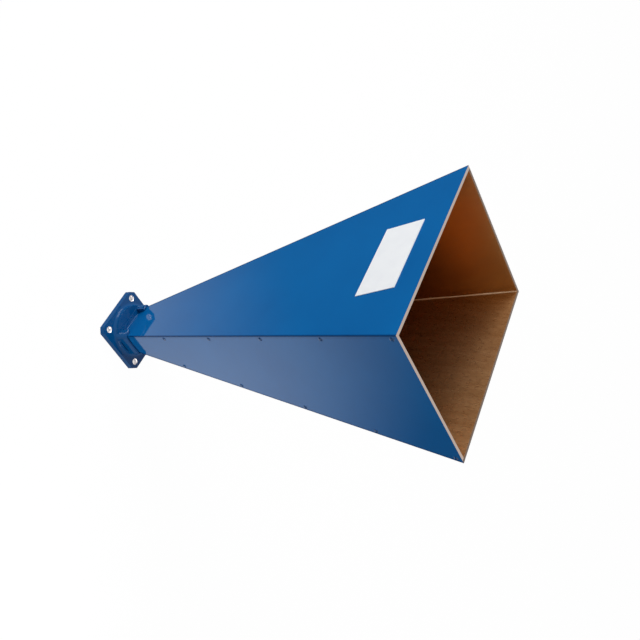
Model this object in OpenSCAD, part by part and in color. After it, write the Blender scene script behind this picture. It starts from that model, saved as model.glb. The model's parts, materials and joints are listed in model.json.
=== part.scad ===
// Pyramidal horn antenna for rectangular waveguide.
// Four flat sheet walls flare from a square bolt flange to an open mouth.
// Origin: centre of the flange's mating face. +Z runs along the boresight to the mouth,
// X lies along the waveguide's broad side and Y along its narrow side. Millimetres.

/* [Waveguide] */
// Inner width of the guide, its broad side
guide_w = 22.86; // [10:0.01:50]
// Inner height of the guide, its narrow side
guide_h = 10.16; // [5:0.01:25]

/* [Horn] */
// Clear width of the mouth
mouth_w = 129; // [70:1:220]
// Clear height of the mouth
mouth_h = 94; // [50:1:160]
// Mating face to mouth plane
horn_length = 259; // [150:1:400]
// Mating face to the plane where the flare starts
throat_z = 8; // [6:0.5:12]
// Thickness of the wall sheet
sheet = 2.0; // [1:0.1:3]

/* [Flange] */
// Side of the square flange
flange_size = 41.4; // [38:0.1:80]
// Thickness of the flange plate
flange_t = 4.0; // [3:0.1:6]
// Cut at each corner of the flange
flange_corner = 3.2; // [0.5:0.1:4]
// Bolt spacing along the guide's broad side
bolt_x = 31.0; // [29:0.1:34]
// Bolt spacing along the guide's narrow side
bolt_y = 32.5; // [29:0.1:34]
// Diameter of the bolt holes
bolt_d = 4.3; // [3:0.1:5]

/* [Hub and collar] */
// Diameter of the turned hub on the flange plate
hub_d = 34.4; // [34:0.1:38]
// Height of the hub above the flange plate
hub_h = 3.0; // [1:0.1:4]
// Concave fillet where the hub meets the flange
hub_fillet = 2.6; // [0.5:0.1:3]
// Height of the collar above the hub
collar_h = 7.5; // [5:0.1:15]
// Metal of the collar beside the narrow walls, at the top
collar_wall_x = 1.2; // [0.8:0.1:3]
// Metal of the collar beside the broad walls, at the top
collar_wall_y = 2.0; // [0.8:0.1:3]
// Width of the relief milled into the collar on each broad side
relief_w = 20.6; // [8:0.1:22]
// Corner radius of the collar
collar_r = 3; // [1:0.1:3]
// Chamfer round the collar's top edge
collar_chamfer = 0.6; // [0.2:0.1:0.7]
// Solder gap between the collar's socket and the walls
solder_gap = 0.1; // [0.05:0.01:0.3]

/* [Seam pins] */
// Pins along each of the four seams
pin_count = 5; // [2:1:9]
// Mating face to the first pin
pin_first = 58.5; // [30:0.5:90]
// Last pin to the mouth plane
pin_last = 3.7; // [3:0.1:30]
// Joint line to a pin's middle, into the narrow wall
pin_inset = 0.5; // [0:0.1:1.5]
// Diameter of a pin's shank
pin_d = 2.0; // [1:0.1:2.4]
// Diameter of a pin's domed head
pin_head_d = 2.8; // [2.5:0.1:4]
// Height of a pin's domed head
pin_head_h = 0.7; // [0.3:0.1:1.2]
// Gap round a pin's shank in its hole
pin_gap = 0.04; // [0.02:0.01:0.1]

/* [Label] */
// Length of the label, across the horn
label_w = 54; // [20:1:90]
// Width of the label, along the horn
label_h = 25.4; // [10:0.1:60]
// Thickness of the label
label_t = 0.3; // [0.1:0.1:1]
// Mouth edge to the label's near edge, along the wall
label_to_mouth = 15; // [5:0.5:60]
// Label's middle off the wall's middle
label_shift = -2.5; // [-10:0.5:10]

/* [Hidden] */
$fn = 72;

// Cuts run this far past the faces that they open
over = 1;

// How fast the walls open, per millimetre along Z
slope_x = (mouth_w - guide_w) / 2 / (horn_length - throat_z);
slope_y = (mouth_h - guide_h) / 2 / (horn_length - throat_z);
// The leaning walls' thickness, measured along X and along Y
wall_x = sheet * sqrt(1 + pow(slope_x, 2));
wall_y = sheet * sqrt(1 + pow(slope_y, 2));

collar_base = flange_t + hub_h;
collar_top = collar_base + collar_h;
// Half the collar's outline: the walls where they leave it, the solder gap and the metal
collar_x = outer_x(collar_top) + solder_gap + collar_wall_x;
collar_y = outer_y(collar_top) + solder_gap + collar_wall_y;

pin_pitch = (horn_length - pin_last - pin_first) / (pin_count - 1);
// Radius of the dome that a pin's head is cut from
pin_dome = (pow(pin_head_d / 2, 2) + pow(pin_head_h, 2)) / (2 * pin_head_h);

// Long enough to cross the whole horn
across = mouth_w + mouth_h;

paint = [0.05, 0.33, 0.60];
copper = [0.60, 0.38, 0.22];
white = [0.93, 0.94, 0.96];

// Half width and half height of the horn at height z, inside and outside
function inner_x(z) = guide_w / 2 + (z - throat_z) * slope_x;
function inner_y(z) = guide_h / 2 + (z - throat_z) * slope_y;
function outer_x(z) = inner_x(z) + wall_x;
function outer_y(z) = inner_y(z) + wall_y;

// Outline between the heights z0 and z1: from a0 to b0 at z0, from a1 to b1 at z1
function strip(z0, a0, b0, z1, a1, b1) = [[a0, z0], [b0, z0], [b1, z1], [a1, z1]];

// An outline drawn in X and Z, made solid along Y
module along_y(outline) {
    rotate([90, 0, 0])
        linear_extrude(across, center = true)
            polygon(outline);
}

// An outline drawn in Y and Z, made solid along X
module along_x(outline) {
    rotate([90, 0, 90])
        linear_extrude(across, center = true)
            polygon(outline);
}

// The horn's outer pyramid between two heights, larger all round by gap
module outer_flare(z0, z1, gap) {
    x0 = outer_x(z0) + gap;
    x1 = outer_x(z1) + gap;
    y0 = outer_y(z0) + gap;
    y1 = outer_y(z1) + gap;
    intersection() {
        along_y(strip(z0, -x0, x0, z1, -x1, x1));
        along_x(strip(z0, -y0, y0, z1, -y1, y1));
    }
}

// What stands at one corner seam, repeated at all four
module at_four_seams() {
    for (mx = [0, 1], my = [0, 1])
        mirror([mx, 0, 0])
            mirror([0, my, 0])
                children();
}

// Places a child at each pin on the +X +Y seam, square to the narrow wall's outer face
module at_pins() {
    for (i = [0 : pin_count - 1]) {
        z = pin_first + i * pin_pitch;
        translate([outer_x(z), inner_y(z) - pin_inset, z])
            rotate([0, 90 + atan(slope_x), 0])
                children();
    }
}

// The holes that the pins are driven into, partly in each of the two walls
module pin_holes() {
    at_four_seams()
        at_pins()
            translate([0, 0, -sheet])
                cylinder(d = pin_d + 2 * pin_gap, h = sheet + over);
}

// Square plate with its corners cut off
module flange_plate() {
    s = flange_size / 2;
    c = s - flange_corner;
    linear_extrude(flange_t)
        polygon([[s, c], [c, s], [-c, s], [-s, c], [-s, -c], [-c, -s], [c, -s], [s, -c]]);
}

// Turned hub with a concave fillet down to the plate
module hub() {
    r = hub_d / 2;
    f = min(hub_fillet, hub_h);
    rotate_extrude() {
        square([r, collar_base]);
        difference() {
            translate([r, flange_t])
                square(f);
            translate([r + f, flange_t + f])
                circle(f);
        }
    }
}

// Half a section of the collar, w from its middle to its side, with the top edge chamfered
function collar_section(w) = [
    [0, 0], [w, 0], [w, collar_top - collar_chamfer], [w - collar_chamfer, collar_top], [0, collar_top]
];

// Rounded oblong collar, with the chamfer all round its top edge
module collar() {
    x = collar_x - collar_r;
    y = collar_y - collar_r;
    for (sx = [-1, 1], sy = [-1, 1])
        translate([sx * x, sy * y, 0])
            rotate_extrude()
                polygon(collar_section(collar_r));
    for (turn = [0, 180])
        rotate([0, 0, turn]) {
            rotate([90, 0, 0])
                linear_extrude(2 * y, center = true)
                    polygon(collar_section(collar_x));
            rotate([90, 0, 90])
                linear_extrude(2 * x, center = true)
                    polygon(collar_section(collar_y));
        }
}

module throat_flange() {
    color(paint)
        difference() {
            union() {
                flange_plate();
                hub();
                collar();
            }
            // Waveguide opening
            translate([-guide_w / 2, -guide_h / 2, -over])
                cube([guide_w, guide_h, throat_z + 2 * over]);
            // Socket that the four walls are soldered into
            outer_flare(throat_z, collar_top + over, solder_gap);
            // Relief on both broad sides, down to the socket's floor
            translate([-relief_w / 2, -collar_y - over, throat_z])
                cube([relief_w, 2 * (collar_y + over), collar_h + over]);
            for (sx = [-1, 1], sy = [-1, 1])
                translate([sx * bolt_x / 2, sy * bolt_y / 2, -over])
                    cylinder(d = bolt_d, h = flange_t + 2 * over);
        }
}

// Broad wall on the +Y side, as wide as the horn: its edges cover the narrow walls' edges
module broad_wall() {
    z0 = throat_z;
    z1 = horn_length;
    color(paint)
        difference() {
            intersection() {
                along_y(strip(z0, -outer_x(z0), outer_x(z0), z1, -outer_x(z1), outer_x(z1)));
                along_x(strip(z0, inner_y(z0), outer_y(z0), z1, inner_y(z1), outer_y(z1)));
            }
            pin_holes();
        }
}

// Narrow wall on the +X side, set in between the two broad walls
module narrow_wall() {
    z0 = throat_z;
    z1 = horn_length;
    color(paint)
        difference() {
            intersection() {
                along_y(strip(z0, inner_x(z0), outer_x(z0), z1, inner_x(z1), outer_x(z1)));
                along_x(strip(z0, -inner_y(z0), inner_y(z0), z1, -inner_y(z1), inner_y(z1)));
            }
            pin_holes();
        }
}

module broad_wall_front() {
    broad_wall();
}

module broad_wall_back() {
    mirror([0, 1, 0])
        broad_wall();
}

module narrow_wall_right() {
    narrow_wall();
}

module narrow_wall_left() {
    mirror([1, 0, 0])
        narrow_wall();
}

// Pins driven in along the joint lines, with domed heads on the narrow walls
module seam_pins() {
    color(paint)
        at_four_seams()
            at_pins() {
                translate([0, 0, -sheet])
                    cylinder(d = pin_d, h = sheet);
                rotate_extrude()
                    intersection() {
                        translate([0, pin_head_h - pin_dome])
                            circle(pin_dome);
                        square([pin_head_d / 2, pin_head_h]);
                    }
            }
}

// Plate stuck on the front broad wall near the mouth
module label() {
    color(white)
        translate([label_shift, outer_y(horn_length), horn_length])
            rotate([-atan(slope_y), 0, 0])
                translate([-label_w / 2, 0, -label_to_mouth - label_h])
                    cube([label_w, label_t, label_h]);
}

throat_flange();
broad_wall_front();
broad_wall_back();
narrow_wall_left();
narrow_wall_right();
seam_pins();
label();
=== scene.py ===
"""The looks of the pyramidal horn antenna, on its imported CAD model.

The frame is the model's own: metres, the flange's mating face on z = 0, the horn's
axis on +Z, its broad sides facing +Y and -Y, and its narrow sides facing +X and -X.
"""

import json
import math

import bmesh
import bpy
from mathutils import Matrix, Vector


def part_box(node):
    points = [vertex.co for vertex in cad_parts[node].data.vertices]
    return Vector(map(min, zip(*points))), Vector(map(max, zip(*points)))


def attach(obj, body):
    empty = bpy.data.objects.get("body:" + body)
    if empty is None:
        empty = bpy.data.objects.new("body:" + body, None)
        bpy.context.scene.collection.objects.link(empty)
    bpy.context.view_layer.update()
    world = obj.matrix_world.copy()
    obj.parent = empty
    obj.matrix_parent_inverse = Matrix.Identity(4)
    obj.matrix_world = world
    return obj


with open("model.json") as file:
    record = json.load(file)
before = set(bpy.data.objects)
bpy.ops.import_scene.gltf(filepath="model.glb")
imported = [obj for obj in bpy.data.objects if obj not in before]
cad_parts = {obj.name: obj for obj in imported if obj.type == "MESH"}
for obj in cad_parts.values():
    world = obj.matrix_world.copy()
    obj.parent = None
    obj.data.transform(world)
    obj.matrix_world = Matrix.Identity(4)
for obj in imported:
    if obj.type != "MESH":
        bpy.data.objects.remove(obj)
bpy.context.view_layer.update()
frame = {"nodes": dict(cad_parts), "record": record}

MM = 0.001

# ---------------------------------------------------------------- what the model says
NODES = frame["nodes"]
BROAD_WALLS = ("broad_wall_front", "broad_wall_back")
NARROW_WALLS = ("narrow_wall_left", "narrow_wall_right")
MOUTH_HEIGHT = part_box("broad_wall_front")[1].z
THROAT_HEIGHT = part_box("broad_wall_front")[0].z
FLANGE_BOLTS = next(m for m in frame["record"]["mounts"] if m["name"] == "flange_bolts")
BOLT_X = FLANGE_BOLTS["dims"]["spacing_x_mm"] * MM
BOLT_Y = FLANGE_BOLTS["dims"]["spacing_y_mm"] * MM
BOLT_RADIUS = FLANGE_BOLTS["dims"]["hole_r_mm"] * MM
# Half the horn's clear opening at its two ends, from the inner faces of the walls
THROAT_HALF_X = 11.43 * MM
THROAT_HALF_Y = 5.08 * MM
MOUTH_HALF_X = 64.5 * MM
MOUTH_HALF_Y = 47.0 * MM
SHEET_THICKNESS = 2.0 * MM
# The relief that is milled into the collar on both broad sides
RELIEF_HALF = 10.3 * MM

# ---------------------------------------------------------------- camera
CAMERA_PLACE = Vector((-0.31900, 0.30031, 0.45206))
CAMERA_FORWARD = Vector((0.6069, -0.5730, -0.5508))
CAMERA_UP = Vector((0.7087, 0.7038, 0.0487))
LENS = 48.556
SENSOR = 36.0
CLIP_START = 0.01
CLIP_END = 50.0

# ---------------------------------------------------------------- finishes
ENAMEL_BLUE = (0.001, 0.128, 0.385, 1.0)
ENAMEL_DEEP = (0.001, 0.108, 0.340, 1.0)
# Painted shade: the dark blue mixed into the enamel along the outer corners and over the flange and pins,
# and into the joints' lines
PAINTED_SHADE_BLUE = (0.001, 0.026, 0.105, 1.0)
SHEET_METAL = (0.44, 0.26, 0.125, 1.0)
# Painted shade: a darker copy of the sheet metal, for the inside of the far narrow wall, which is also
# smoother
SHADED_POLISHED_METAL = (0.36, 0.185, 0.070, 1.0)
SHEET_TARNISH = (0.33, 0.175, 0.070, 1.0)
CUT_METAL = (0.46, 0.36, 0.30, 1.0)
# Painted shade: a darkened copy of the cut metal, for the rims of the walls away from the camera
SHADED_CUT_METAL = (0.13, 0.075, 0.045, 1.0)
MILLED_METAL = (0.78, 0.62, 0.42, 1.0)
DRILLED_METAL = (0.93, 0.89, 0.88, 1.0)
SOLDER = (0.62, 0.46, 0.34, 1.0)
LABEL_WHITE = (0.86, 0.88, 0.90, 1.0)
LABEL_MOTTLE = (0.82, 0.84, 0.87, 1.0)
# How much of the painted shade colour is mixed into the enamel on the small pieces
FLANGE_PAINTED_SHADE = 0.45
PIN_PAINTED_SHADE = 0.6
# Roughness under the clear coat, of the coat itself, and its refraction
PAINT_ROUGHNESS = 0.42
FLANGE_PAINT_ROUGHNESS = 0.40
MILLED_ROUGHNESS = 0.30
SHEET_COAT_ROUGHNESS = 0.03
FLANGE_COAT_ROUGHNESS = 0.04
PIN_COAT_ROUGHNESS = 0.05
COAT_REFRACTION = 1.45
FLANGE_COAT = 0.4
# Roughness of the bare sheet, from the bottoms of its scratches to their crests
BROAD_POLISH = (0.26, 0.34)
NARROW_POLISH = (0.16, 0.22)
# How fine the scratches are, and how much they are drawn out along the horn
BRUSH_FINENESS = 2200.0
BRUSH_STRETCH = 0.004
# Width of the joint's shadow and of the painted shade along the outer corners
JOINT_WIDTH = 0.16 * MM
CORNER_WIDTH = 1.3 * MM
# The edge rounding of the flange
FLANGE_ROUNDING = 0.25 * MM
# How far the solder fillets reach from their corners, and how finely they are built
CORNER_SOLDER = 0.7 * MM
FOOT_SOLDER = 0.9 * MM
CORNER_STEPS = 24
FOOT_STEPS = 20
FILLET_STEPS = 6
# How far the solder's hidden edge lies in the metal
SOLDER_ROOT = 0.1 * MM

# ---------------------------------------------------------------- studio
WHITE = (1.0, 1.0, 1.0, 1.0)
FLOOR_WHITE = (0.90, 0.90, 0.90, 1.0)
FLOOR_RADIUS = 8.0
FLOOR_DROP = 0.2 * MM
# The floor's own glow as the camera sees it, and how far it stands in for the lit paper
FLOOR_GLOW = 1.01
FLOOR_GLOW_SHARE = 0.97
# The floor's pool of light as the gloss shows it: its middle, its reach and its brightness
POOL_CENTRE = (-0.06, -0.08, 0.0)
POOL_INNER = 0.0
POOL_OUTER = 0.28
POOL_BRIGHT = 0.90
POOL_DIM = 0.06
SKY_SOFT = 0.36
KEY_PLACE = (0.60, 0.95, 0.75)
KEY_TARGET = (0.0, 0.0, 0.13)
KEY_SIZE = 0.8
KEY_WATTS = 12.0
FILL_PLACE = (-0.24, -0.04, 0.05)
FILL_TARGET = (0.0, 0.0, 0.05)
FILL_SIZE = 0.12
FILL_WATTS = 0.13


def outer_reach(throat_half, mouth_half):
    """How far a wall's outer face lies beyond its inner face, measured square to the axis."""
    lean = (mouth_half - throat_half) / (MOUTH_HEIGHT - THROAT_HEIGHT)
    return SHEET_THICKNESS * math.sqrt(1.0 + lean * lean)


# ---------------------------------------------------------------- node helpers
def new_group(name, inputs, outputs):
    """An empty shader node group: inputs are (name, type, value), outputs (name, type)."""
    group = bpy.data.node_groups.new(name, "ShaderNodeTree")
    for label, kind, value in inputs:
        socket = group.interface.new_socket(label, in_out="INPUT", socket_type=kind)
        if value is not None:
            socket.default_value = value
    for label, kind in outputs:
        group.interface.new_socket(label, in_out="OUTPUT", socket_type=kind)
    start = group.nodes.new("NodeGroupInput")
    end = group.nodes.new("NodeGroupOutput")
    return group, start, end


def place_group(material, group, **values):
    """A copy of the group in the material, with its own values."""
    node = material.node_tree.nodes.new("ShaderNodeGroup")
    node.node_tree = group
    for label, value in values.items():
        node.inputs[label.replace("_", " ")].default_value = value
    return node


def math_node(tree, operation, first, second=None, clamp=False):
    """A Math node; first and second are numbers or sockets."""
    node = tree.nodes.new("ShaderNodeMath")
    node.operation = operation
    node.use_clamp = clamp
    for slot, value in enumerate((first, second)):
        if value is None:
            continue
        if isinstance(value, (int, float)):
            node.inputs[slot].default_value = value
        else:
            tree.links.new(value, node.inputs[slot])
    return node.outputs[0]


def mix_colour(tree, factor, first, second):
    """A colour mix; each of the three is a value or a socket."""
    node = tree.nodes.new("ShaderNodeMix")
    node.data_type = "RGBA"
    for socket, value in ((node.inputs[0], factor), (node.inputs[6], first), (node.inputs[7], second)):
        if hasattr(value, "is_output"):
            tree.links.new(value, socket)
        else:
            socket.default_value = value
    return node.outputs[2]


def mix_value(tree, factor, first, second):
    """A number mix; each of the three is a value or a socket."""
    node = tree.nodes.new("ShaderNodeMix")
    node.data_type = "FLOAT"
    for socket, value in ((node.inputs[0], factor), (node.inputs[2], first), (node.inputs[3], second)):
        if hasattr(value, "is_output"):
            tree.links.new(value, socket)
        else:
            socket.default_value = value
    return node.outputs[0]


def scaled_place(tree, x, y, z):
    """The place on the object, stretched by its own amount along each axis."""
    place = tree.nodes.new("ShaderNodeTexCoord")
    mapping = tree.nodes.new("ShaderNodeMapping")
    mapping.inputs["Scale"].default_value = (x, y, z)
    tree.links.new(place.outputs["Object"], mapping.inputs["Vector"])
    return mapping.outputs["Vector"]


def noise(tree, vector, scale, detail=2.0, roughness=0.5):
    """Cloudy values from 0 to 1 over the vector."""
    node = tree.nodes.new("ShaderNodeTexNoise")
    node.inputs["Scale"].default_value = scale
    node.inputs["Detail"].default_value = detail
    node.inputs["Roughness"].default_value = roughness
    tree.links.new(vector, node.inputs["Vector"])
    return node.outputs["Fac"]


def spread(tree, value, low, high):
    """value, stretched so that low becomes 0 and high becomes 1."""
    node = tree.nodes.new("ShaderNodeMapRange")
    node.inputs["From Min"].default_value = low
    node.inputs["From Max"].default_value = high
    tree.links.new(value, node.inputs["Value"])
    return node.outputs["Result"]


# ---------------------------------------------------------------- shared effects
def make_bare_sides():
    """Masks of the surfaces that the paint leaves bare: the inside, the rim and the mating face."""
    skin_depth = 0.05 * MM
    group, start, end = new_group(
        "bare sides",
        [("Mouth Height", "NodeSocketFloat", 0.259)],
        [("Inside", "NodeSocketFloat"), ("Rim", "NodeSocketFloat"), ("Mating Face", "NodeSocketFloat")],
    )
    links = group.links
    geometry = group.nodes.new("ShaderNodeNewGeometry")
    place = group.nodes.new("ShaderNodeTexCoord")
    flat_place = group.nodes.new("ShaderNodeVectorMath")
    flat_place.operation = "MULTIPLY"
    flat_place.inputs[1].default_value = (1.0, 1.0, 0.0)
    links.new(place.outputs["Object"], flat_place.inputs[0])
    outward = group.nodes.new("ShaderNodeVectorMath")
    outward.operation = "NORMALIZE"
    links.new(flat_place.outputs[0], outward.inputs[0])
    facing = group.nodes.new("ShaderNodeVectorMath")
    facing.operation = "DOT_PRODUCT"
    links.new(outward.outputs[0], facing.inputs[0])
    links.new(geometry.outputs["True Normal"], facing.inputs[1])
    inward = math_node(group, "LESS_THAN", facing.outputs["Value"], -0.05)
    normal = group.nodes.new("ShaderNodeSeparateXYZ")
    links.new(geometry.outputs["True Normal"], normal.inputs[0])
    place_z = group.nodes.new("ShaderNodeSeparateXYZ")
    links.new(place.outputs["Object"], place_z.inputs[0])
    to_rim = math_node(group, "SUBTRACT", start.outputs["Mouth Height"], place_z.outputs["Z"])
    at_rim = math_node(group, "LESS_THAN", to_rim, skin_depth)
    looks_up = math_node(group, "GREATER_THAN", normal.outputs["Z"], 0.3)
    at_face = math_node(group, "LESS_THAN", place_z.outputs["Z"], skin_depth)
    looks_down = math_node(group, "LESS_THAN", normal.outputs["Z"], -0.9)
    links.new(inward, end.inputs["Inside"])
    links.new(math_node(group, "MULTIPLY", at_rim, looks_up), end.inputs["Rim"])
    links.new(math_node(group, "MULTIPLY", at_face, looks_down), end.inputs["Mating Face"])
    return group


def make_brushed():
    """Straight fine scratches along the horn, as rolled and polished sheet has."""
    group, start, end = new_group(
        "brushed along the horn",
        [("Fineness", "NodeSocketFloat", BRUSH_FINENESS)],
        [("Streaks", "NodeSocketFloat"), ("Bands", "NodeSocketFloat")],
    )
    across = group.nodes.new("ShaderNodeVectorMath")
    across.operation = "SCALE"
    group.links.new(scaled_place(group, 1.0, 1.0, BRUSH_STRETCH), across.inputs[0])
    group.links.new(start.outputs["Fineness"], across.inputs["Scale"])
    streaks = noise(group, across.outputs[0], 1.0, 3.0, 0.6)
    bands = noise(group, scaled_place(group, 260.0, 260.0, 2.0), 1.0, 3.0, 0.6)
    group.links.new(streaks, end.inputs["Streaks"])
    group.links.new(bands, end.inputs["Bands"])
    return group


def make_enamel_skin():
    """Sprayed enamel: slow waves in its skin, and a colour that thins a little here and there."""
    group, start, end = new_group(
        "enamel skin",
        [("Wave Scale", "NodeSocketFloat", 60.0)],
        [("Waves", "NodeSocketFloat"), ("Thickness", "NodeSocketFloat")],
    )
    place = scaled_place(group, 1.0, 1.0, 1.0)
    waves = group.nodes.new("ShaderNodeTexNoise")
    group.links.new(place, waves.inputs["Vector"])
    group.links.new(start.outputs["Wave Scale"], waves.inputs["Scale"])
    waves.inputs["Detail"].default_value = 1.0
    group.links.new(waves.outputs["Fac"], end.inputs["Waves"])
    group.links.new(noise(group, place, 14.0, 3.0), end.inputs["Thickness"])
    return group


def make_joint_lines():
    """Masks of the fine joints between the walls, and of the painted shade along the horn's four outer
    corners.
    """
    group, start, end = new_group(
        "joint lines",
        [("Line Width", "NodeSocketFloat", JOINT_WIDTH), ("Corner Width", "NodeSocketFloat", CORNER_WIDTH)],
        [("Joint", "NodeSocketFloat"), ("Corner", "NodeSocketFloat")],
    )
    links = group.links
    place = group.nodes.new("ShaderNodeTexCoord")
    across = group.nodes.new("ShaderNodeSeparateXYZ")
    links.new(place.outputs["Object"], across.inputs[0])
    geometry = group.nodes.new("ShaderNodeNewGeometry")
    normal = group.nodes.new("ShaderNodeSeparateXYZ")
    links.new(geometry.outputs["True Normal"], normal.inputs[0])
    far_x = math_node(group, "ABSOLUTE", across.outputs["X"])
    far_y = math_node(group, "ABSOLUTE", across.outputs["Y"])
    halves = []
    for throat, mouth in ((THROAT_HALF_X, MOUTH_HALF_X), (THROAT_HALF_Y, MOUTH_HALF_Y)):
        opening = group.nodes.new("ShaderNodeMapRange")
        opening.inputs["From Min"].default_value = THROAT_HEIGHT
        opening.inputs["From Max"].default_value = MOUTH_HEIGHT
        opening.inputs["To Min"].default_value = throat
        opening.inputs["To Max"].default_value = mouth
        links.new(across.outputs["Z"], opening.inputs["Value"])
        halves.append(opening.outputs["Result"])
    sideways = math_node(group, "ABSOLUTE", normal.outputs["X"])
    on_narrow = math_node(group, "GREATER_THAN", sideways, 0.8)
    off_joint = math_node(group, "ABSOLUTE", math_node(group, "SUBTRACT", far_y, halves[1]))
    joint = math_node(group, "DIVIDE", off_joint, start.outputs["Line Width"])
    joint = math_node(group, "SUBTRACT", 1.0, joint, clamp=True)
    links.new(math_node(group, "MULTIPLY", joint, on_narrow), end.inputs["Joint"])
    outer_x = math_node(group, "ADD", halves[0], outer_reach(THROAT_HALF_X, MOUTH_HALF_X))
    outer_y = math_node(group, "ADD", halves[1], outer_reach(THROAT_HALF_Y, MOUTH_HALF_Y))
    to_side = math_node(group, "SUBTRACT", outer_x, far_x)
    to_face = math_node(group, "SUBTRACT", outer_y, far_y)
    to_corner = mix_value(group, on_narrow, to_side, to_face)
    corner = math_node(group, "DIVIDE", to_corner, start.outputs["Corner Width"])
    links.new(math_node(group, "SUBTRACT", 1.0, corner, clamp=True), end.inputs["Corner"])
    return group


BARE_SIDES = make_bare_sides()
JOINT_LINES = make_joint_lines()
BRUSHED = make_brushed()
ENAMEL_SKIN = make_enamel_skin()


# ---------------------------------------------------------------- materials
def new_material(name):
    """A material with its node tree and its own Principled shader."""
    material = bpy.data.materials.new(name)
    material.use_nodes = True
    return material, material.node_tree, material.node_tree.nodes["Principled BSDF"]


def enamel_colour(tree, skin):
    """The enamel's blue, deeper where it lies thick."""
    thick = spread(tree, skin.outputs["Thickness"], 0.3, 0.7)
    return mix_colour(tree, thick, ENAMEL_BLUE, ENAMEL_DEEP)


def enamelled_sheet(name, rim_metal, bare_metal=SHEET_METAL, polish=BROAD_POLISH):
    """Blue gloss enamel outside, bare brushed sheet inside and bare cut metal on the mouth's rim."""
    material, tree, shader = new_material(name)
    sides = place_group(material, BARE_SIDES, Mouth_Height=MOUTH_HEIGHT)
    skin = place_group(material, ENAMEL_SKIN, Wave_Scale=45.0)
    brushed = place_group(material, BRUSHED, Fineness=BRUSH_FINENESS)
    enamel = enamel_colour(tree, skin)
    tarnish = spread(tree, brushed.outputs["Bands"], 0.3, 0.75)
    metal = mix_colour(tree, tarnish, bare_metal, SHEET_TARNISH)
    inside = sides.outputs["Inside"]
    bare = math_node(tree, "MAXIMUM", inside, sides.outputs["Rim"])
    lines = place_group(material, JOINT_LINES)
    # The enamel darkens into the joints' lines, and into painted shade along the horn's outer corners
    joint_shade = math_node(tree, "MULTIPLY", lines.outputs["Joint"], 0.75)
    shade = math_node(tree, "MAXIMUM", joint_shade, lines.outputs["Corner"])
    enamel = mix_colour(tree, shade, enamel, PAINTED_SHADE_BLUE)
    colour = mix_colour(tree, inside, enamel, metal)
    colour = mix_colour(tree, sides.outputs["Rim"], colour, rim_metal)
    tree.links.new(colour, shader.inputs["Base Color"])
    tree.links.new(bare, shader.inputs["Metallic"])
    crests = spread(tree, brushed.outputs["Streaks"], 0.3, 0.7)
    metal_roughness = mix_value(tree, crests, *polish)
    roughness = mix_value(tree, bare, PAINT_ROUGHNESS, metal_roughness)
    tree.links.new(roughness, shader.inputs["Roughness"])
    # The coat thins along the outer corners under the painted shade, so that they show less reflection
    dimmed_corner = math_node(tree, "MULTIPLY", lines.outputs["Corner"], 0.8)
    coat = math_node(tree, "SUBTRACT", 1.0, dimmed_corner)
    coat = math_node(tree, "MULTIPLY", coat, math_node(tree, "SUBTRACT", 1.0, bare))
    tree.links.new(coat, shader.inputs["Coat Weight"])
    shader.inputs["Coat Roughness"].default_value = SHEET_COAT_ROUGHNESS
    shader.inputs["Coat IOR"].default_value = COAT_REFRACTION
    shader.inputs["Specular IOR Level"].default_value = 0.0
    waves = math_node(tree, "MULTIPLY", skin.outputs["Waves"], 0.5)
    groove = math_node(tree, "MULTIPLY", lines.outputs["Joint"], 6.0)
    skin_height = math_node(tree, "SUBTRACT", waves, groove)
    scratches = math_node(tree, "MULTIPLY", brushed.outputs["Streaks"], 1.2)
    height = mix_value(tree, inside, skin_height, scratches)
    bump = tree.nodes.new("ShaderNodeBump")
    bump.inputs["Distance"].default_value = 0.012 * MM
    bump.inputs["Strength"].default_value = 0.6
    tree.links.new(height, bump.inputs["Height"])
    tree.links.new(bump.outputs["Normal"], shader.inputs["Normal"])
    return material


def bolt_bore_mask(tree):
    """1 on the walls of the four drilled bolt holes."""
    place = tree.nodes.new("ShaderNodeTexCoord")
    quarter = tree.nodes.new("ShaderNodeVectorMath")
    quarter.operation = "ABSOLUTE"
    tree.links.new(place.outputs["Object"], quarter.inputs[0])
    flat = tree.nodes.new("ShaderNodeVectorMath")
    flat.operation = "MULTIPLY"
    flat.inputs[1].default_value = (1.0, 1.0, 0.0)
    tree.links.new(quarter.outputs[0], flat.inputs[0])
    to_bolt = tree.nodes.new("ShaderNodeVectorMath")
    to_bolt.operation = "DISTANCE"
    to_bolt.inputs[1].default_value = (BOLT_X / 2, BOLT_Y / 2, 0.0)
    tree.links.new(flat.outputs[0], to_bolt.inputs[0])
    return math_node(tree, "LESS_THAN", to_bolt.outputs["Value"], BOLT_RADIUS + 0.08 * MM)


def guide_opening_mask(tree):
    """1 within the guide's rectangular opening."""
    place = tree.nodes.new("ShaderNodeTexCoord")
    at = tree.nodes.new("ShaderNodeSeparateXYZ")
    tree.links.new(place.outputs["Object"], at.inputs[0])
    far_x = math_node(tree, "ABSOLUTE", at.outputs["X"])
    far_y = math_node(tree, "ABSOLUTE", at.outputs["Y"])
    within_x = math_node(tree, "LESS_THAN", far_x, THROAT_HALF_X + 0.1 * MM)
    within_y = math_node(tree, "LESS_THAN", far_y, THROAT_HALF_Y + 0.1 * MM)
    return math_node(tree, "MULTIPLY", within_x, within_y)


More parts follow.
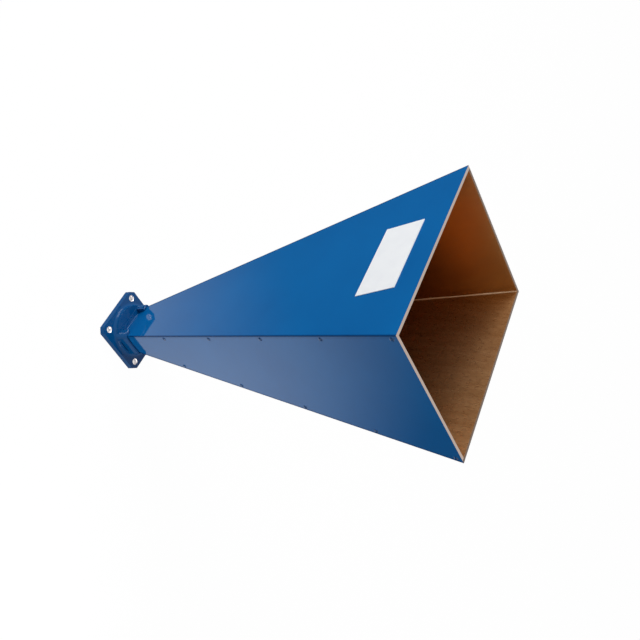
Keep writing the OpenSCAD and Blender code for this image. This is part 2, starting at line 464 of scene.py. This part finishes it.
def enamelled_flange():
    """The same enamel over the flange, darkened by painted shade; its mating face, throat and drilled holes
    are bare.
    """
    material, tree, shader = new_material("enamelled flange")
    sides = place_group(material, BARE_SIDES, Mouth_Height=1.0)
    skin = place_group(material, ENAMEL_SKIN, Wave_Scale=120.0)
    enamel = enamel_colour(tree, skin)
    # Painted shade: the flange's enamel is darkened towards the shade colour
    enamel = mix_colour(tree, FLANGE_PAINTED_SHADE, enamel, PAINTED_SHADE_BLUE)
    bores = bolt_bore_mask(tree)
    machined = math_node(tree, "MAXIMUM", sides.outputs["Mating Face"], bores)
    bare = math_node(tree, "MAXIMUM", machined, guide_opening_mask(tree))
    bare_colour = mix_colour(tree, bores, MILLED_METAL, DRILLED_METAL)
    colour = mix_colour(tree, bare, enamel, bare_colour)
    tree.links.new(colour, shader.inputs["Base Color"])
    tree.links.new(bare, shader.inputs["Metallic"])
    roughness = mix_value(tree, bare, FLANGE_PAINT_ROUGHNESS, MILLED_ROUGHNESS)
    tree.links.new(roughness, shader.inputs["Roughness"])
    tree.links.new(mix_value(tree, bare, FLANGE_COAT, 0.0), shader.inputs["Coat Weight"])
    shader.inputs["Coat Roughness"].default_value = FLANGE_COAT_ROUGHNESS
    shader.inputs["Coat IOR"].default_value = COAT_REFRACTION
    shader.inputs["Specular IOR Level"].default_value = 0.0
    bump = tree.nodes.new("ShaderNodeBump")
    bump.inputs["Distance"].default_value = 0.008 * MM
    bump.inputs["Strength"].default_value = 0.5
    tree.links.new(skin.outputs["Waves"], bump.inputs["Height"])
    tree.links.new(bump.outputs["Normal"], shader.inputs["Normal"])
    return material


def enamelled_pins():
    """Pin heads under the enamel, darkened by painted shade; the pins' ends inside the horn are bare."""
    material, tree, shader = new_material("enamelled pins")
    skin = place_group(material, ENAMEL_SKIN, Wave_Scale=300.0)
    sides = place_group(material, BARE_SIDES, Mouth_Height=1.0)
    enamel = enamel_colour(tree, skin)
    # Painted shade: the pins' enamel is darkened towards the shade colour
    enamel = mix_colour(tree, PIN_PAINTED_SHADE, enamel, PAINTED_SHADE_BLUE)
    bare = sides.outputs["Inside"]
    tree.links.new(mix_colour(tree, bare, enamel, SHEET_METAL), shader.inputs["Base Color"])
    tree.links.new(bare, shader.inputs["Metallic"])
    tree.links.new(math_node(tree, "SUBTRACT", 1.0, bare), shader.inputs["Coat Weight"])
    shader.inputs["Roughness"].default_value = PAINT_ROUGHNESS
    shader.inputs["Coat Roughness"].default_value = PIN_COAT_ROUGHNESS
    shader.inputs["Specular IOR Level"].default_value = 0.0
    return material


def bare_solder():
    """Dull solder with a slightly lumpy skin."""
    material, tree, shader = new_material("bare solder")
    lumps = noise(tree, scaled_place(tree, 1.0, 1.0, 0.3), 500.0, 2.0)
    tree.links.new(mix_colour(tree, lumps, SOLDER, SHEET_METAL), shader.inputs["Base Color"])
    shader.inputs["Metallic"].default_value = 1.0
    tree.links.new(mix_value(tree, lumps, 0.35, 0.55), shader.inputs["Roughness"])
    bump = tree.nodes.new("ShaderNodeBump")
    bump.inputs["Distance"].default_value = 0.05 * MM
    bump.inputs["Strength"].default_value = 0.4
    tree.links.new(lumps, bump.inputs["Height"])
    tree.links.new(bump.outputs["Normal"], shader.inputs["Normal"])
    return material


def label_vinyl():
    """Plain white vinyl with a satin face."""
    material, tree, shader = new_material("label vinyl")
    place = scaled_place(tree, 1.0, 1.0, 1.0)
    mottle = noise(tree, place, 90.0, 2.0)
    colour = mix_colour(tree, spread(tree, mottle, 0.3, 0.7), LABEL_WHITE, LABEL_MOTTLE)
    tree.links.new(colour, shader.inputs["Base Color"])
    shader.inputs["Roughness"].default_value = 0.45
    return material


def dress(name, material):
    """Puts the material on a CAD node."""
    for slot in NODES[name].material_slots:
        slot.link = "OBJECT"
        slot.material = material


# The labelled wall and the narrow wall beside it face the camera and get the lit copy of the sheet with
# bright rims; the far walls get copies with painted shade on their rims, and the far narrow wall a darker
# inside too
LIT_RIM_SHEET = enamelled_sheet("enamelled sheet, lit rim", CUT_METAL)
SHADED_RIM_SHEET = enamelled_sheet("enamelled sheet, rim with painted shade", SHADED_CUT_METAL)
SHADED_POLISHED_SHEET = enamelled_sheet(
    "enamelled sheet, polished inside with painted shade", SHADED_CUT_METAL, SHADED_POLISHED_METAL, NARROW_POLISH
)
for wall in BROAD_WALLS + NARROW_WALLS:
    low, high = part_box(wall)
    middle = (low + high) / 2.0
    lit_rim = middle.y - middle.x > 0.0
    shaded_sheet = SHADED_POLISHED_SHEET if wall in NARROW_WALLS else SHADED_RIM_SHEET
    dress(wall, LIT_RIM_SHEET if lit_rim else shaded_sheet)
dress("throat_flange", enamelled_flange())
dress("seam_pins", enamelled_pins())
dress("label", label_vinyl())


# ---------------------------------------------------------------- edges and solder
def soften_edges(name, width, segments=2):
    """Rounds a CAD node's sharp edges with modifiers; its mesh stays as it is."""
    node = NODES[name]
    weld = node.modifiers.new("joined faces", "WELD")
    weld.merge_threshold = 0.002 * MM
    bevel = node.modifiers.new("rounded edges", "BEVEL")
    bevel.width = width
    bevel.segments = segments
    bevel.limit_method = "ANGLE"
    bevel.angle_limit = math.radians(35.0)
    bevel.harden_normals = True


def half_opening(height):
    """Half the clear width and half the clear depth of the horn at a height."""
    share = (height - THROAT_HEIGHT) / (MOUTH_HEIGHT - THROAT_HEIGHT)
    half_x = THROAT_HALF_X + share * (MOUTH_HALF_X - THROAT_HALF_X)
    half_y = THROAT_HALF_Y + share * (MOUTH_HALF_Y - THROAT_HALF_Y)
    return half_x, half_y


def concave_profile(reach, steps):
    """Points of a hollow fillet between two square faces, from one face to the other."""
    points = []
    for step in range(steps + 1):
        angle = math.radians(90.0 * step / steps)
        points.append((reach * (1.0 - math.sin(angle)), reach * (1.0 - math.cos(angle))))
    return points


def add_strip(sheet, rows):
    """Joins rows of points into a closed strip: the last column is the hidden corner."""
    made = [[sheet.verts.new(point) for point in row] for row in rows]
    count = len(made[0])
    for first, second in zip(made, made[1:]):
        for column in range(count):
            after = (column + 1) % count
            sheet.faces.new((first[column], first[after], second[after], second[column]))
    sheet.faces.new(list(reversed(made[0])))
    sheet.faces.new(made[-1])


def finish_piece(name, sheet, material):
    """Makes the piece from its faces and rides it on the part's one body."""
    bmesh.ops.recalc_face_normals(sheet, faces=sheet.faces)
    mesh = bpy.data.meshes.new(name)
    sheet.to_mesh(mesh)
    sheet.free()
    for face in mesh.polygons:
        face.use_smooth = True
    mesh.materials.append(material)
    piece = bpy.data.objects.new(name, mesh)
    bpy.context.scene.collection.objects.link(piece)
    split = piece.modifiers.new("crisp ends", "EDGE_SPLIT")
    split.split_angle = math.radians(40.0)
    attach(piece, "root")
    return piece


def corner_solder(material):
    """The thin hollow fillets of solder in the horn's four inner corners."""
    bottom = THROAT_HEIGHT + 1.0 * MM
    top = MOUTH_HEIGHT - 0.3 * MM
    sheet = bmesh.new()
    for side_x in (-1, 1):
        for side_y in (-1, 1):
            rows = []
            for step in range(CORNER_STEPS + 1):
                height = bottom + (top - bottom) * step / CORNER_STEPS
                half_x, half_y = half_opening(height)
                wander = 1.0 + 0.16 * math.sin(step * 1.7 + 2.0 * side_x + side_y)
                row = []
                for in_x, in_y in concave_profile(CORNER_SOLDER * wander, FILLET_STEPS):
                    row.append((side_x * (half_x - in_x), side_y * (half_y - in_y), height))
                root_x = side_x * (half_x + SOLDER_ROOT)
                root_y = side_y * (half_y + SOLDER_ROOT)
                row.append((root_x, root_y, height))
                rows.append(row)
            add_strip(sheet, rows)
    return finish_piece("corner_solder", sheet, material)


def foot_solder(material):
    """The painted solder along the broad walls' feet, where the collar is milled away."""
    sheet = bmesh.new()
    lean = (MOUTH_HALF_Y - THROAT_HALF_Y) / (MOUTH_HEIGHT - THROAT_HEIGHT)
    foot = THROAT_HALF_Y + outer_reach(THROAT_HALF_Y, MOUTH_HALF_Y)
    for side in (-1, 1):
        rows = []
        for step in range(FOOT_STEPS + 1):
            across = -RELIEF_HALF + 2.0 * RELIEF_HALF * step / FOOT_STEPS
            reach = FOOT_SOLDER * (1.0 + 0.08 * math.sin(step * 1.3 + side))
            row = []
            for out, up in concave_profile(reach, FILLET_STEPS):
                row.append((across, side * (foot + out + lean * up), THROAT_HEIGHT + up))
            row.append((across, side * (foot - SOLDER_ROOT), THROAT_HEIGHT - SOLDER_ROOT))
            rows.append(row)
        add_strip(sheet, rows)
    return finish_piece("foot_solder", sheet, material)


# ---------------------------------------------------------------- camera
def place_camera():
    """Looks at the horn from above and beside its mouth."""
    forward = CAMERA_FORWARD.normalized()
    right = forward.cross(CAMERA_UP).normalized()
    up = right.cross(forward)
    turn = Matrix((right, up, -forward)).transposed().to_4x4()
    data = bpy.data.cameras.new("camera")
    data.lens = LENS
    data.sensor_width = SENSOR
    data.clip_start = CLIP_START
    data.clip_end = CLIP_END
    camera = bpy.data.objects.new("camera", data)
    camera.matrix_world = Matrix.Translation(CAMERA_PLACE) @ turn
    bpy.context.scene.collection.objects.link(camera)
    bpy.context.scene.camera = camera


# ---------------------------------------------------------------- floor, world and lamps
def seen_directly(tree):
    """1 for what the camera sees straight, in a reflection or through a gap."""
    path = tree.nodes.new("ShaderNodeLightPath")
    seen = math_node(tree, "MAXIMUM", path.outputs["Is Camera Ray"], path.outputs["Is Glossy Ray"])
    return math_node(tree, "MAXIMUM", seen, path.outputs["Is Transmission Ray"])


def place_floor():
    """A white floor that keeps the shadow; the gloss sees it as a pool of light that falls off."""
    mesh = bpy.data.meshes.new("floor")
    sheet = bmesh.new()
    bmesh.ops.create_circle(sheet, cap_ends=True, radius=FLOOR_RADIUS, segments=96)
    sheet.to_mesh(mesh)
    sheet.free()
    floor = bpy.data.objects.new("floor", mesh)
    floor.location.z = -FLOOR_DROP
    bpy.context.scene.collection.objects.link(floor)
    material = bpy.data.materials.new("studio floor")
    material.use_nodes = True
    tree = material.node_tree
    tree.nodes.clear()
    paper = tree.nodes.new("ShaderNodeBsdfDiffuse")
    paper.inputs["Color"].default_value = FLOOR_WHITE
    glow = tree.nodes.new("ShaderNodeEmission")
    glow.inputs["Color"].default_value = WHITE
    mix = tree.nodes.new("ShaderNodeMixShader")
    out = tree.nodes.new("ShaderNodeOutputMaterial")
    path = tree.nodes.new("ShaderNodeLightPath")
    glossy = path.outputs["Is Glossy Ray"]
    mirrored = math_node(tree, "MAXIMUM", glossy, path.outputs["Is Transmission Ray"])
    place = tree.nodes.new("ShaderNodeNewGeometry")
    away = tree.nodes.new("ShaderNodeVectorMath")
    away.operation = "DISTANCE"
    away.inputs[1].default_value = POOL_CENTRE
    tree.links.new(place.outputs["Position"], away.inputs[0])
    pool = tree.nodes.new("ShaderNodeMapRange")
    pool.interpolation_type = "SMOOTHSTEP"
    pool.inputs["From Min"].default_value = POOL_INNER
    pool.inputs["From Max"].default_value = POOL_OUTER
    pool.inputs["To Min"].default_value = POOL_BRIGHT
    pool.inputs["To Max"].default_value = POOL_DIM
    tree.links.new(away.outputs["Value"], pool.inputs["Value"])
    white = mix_value(tree, mirrored, FLOOR_GLOW, pool.outputs["Result"])
    tree.links.new(white, glow.inputs["Strength"])
    share = math_node(tree, "MULTIPLY", path.outputs["Is Camera Ray"], FLOOR_GLOW_SHARE)
    tree.links.new(math_node(tree, "MAXIMUM", share, mirrored), mix.inputs[0])
    tree.links.new(paper.outputs[0], mix.inputs[1])
    tree.links.new(glow.outputs[0], mix.inputs[2])
    tree.links.new(mix.outputs[0], out.inputs["Surface"])
    mesh.materials.append(material)


def light_world(strength):
    """An even sky of the given strength, which is white wherever it is seen directly."""
    world = bpy.data.worlds.new("studio")
    bpy.context.scene.world = world
    world.use_nodes = True
    tree = world.node_tree
    tree.nodes.clear()
    soft = tree.nodes.new("ShaderNodeBackground")
    soft.inputs["Strength"].default_value = strength
    white = tree.nodes.new("ShaderNodeBackground")
    white.inputs["Strength"].default_value = 1.0
    for node in (soft, white):
        node.inputs["Color"].default_value = WHITE
    mix = tree.nodes.new("ShaderNodeMixShader")
    out = tree.nodes.new("ShaderNodeOutputWorld")
    tree.links.new(seen_directly(tree), mix.inputs[0])
    tree.links.new(soft.outputs[0], mix.inputs[1])
    tree.links.new(white.outputs[0], mix.inputs[2])
    tree.links.new(mix.outputs[0], out.inputs["Surface"])


def hang_softbox(name, place, target, size, watts):
    """A square soft lamp that the camera doesn't see."""
    data = bpy.data.lights.new(name, "AREA")
    data.shape = "SQUARE"
    data.size = size
    data.energy = watts
    lamp = bpy.data.objects.new(name, data)
    aim = Vector(target) - Vector(place)
    turn = aim.to_track_quat("-Z", "Y").to_matrix().to_4x4()
    lamp.matrix_world = Matrix.Translation(Vector(place)) @ turn
    lamp.visible_camera = False
    bpy.context.scene.collection.objects.link(lamp)


soften_edges("throat_flange", FLANGE_ROUNDING)
corner_solder(bare_solder())
foot_solder(bpy.data.materials["enamelled flange"])
place_camera()
place_floor()
light_world(SKY_SOFT)
hang_softbox("key softbox", KEY_PLACE, KEY_TARGET, KEY_SIZE, KEY_WATTS)
hang_softbox("low fill", FILL_PLACE, FILL_TARGET, FILL_SIZE, FILL_WATTS)
bpy.context.scene.view_settings.view_transform = "Standard"
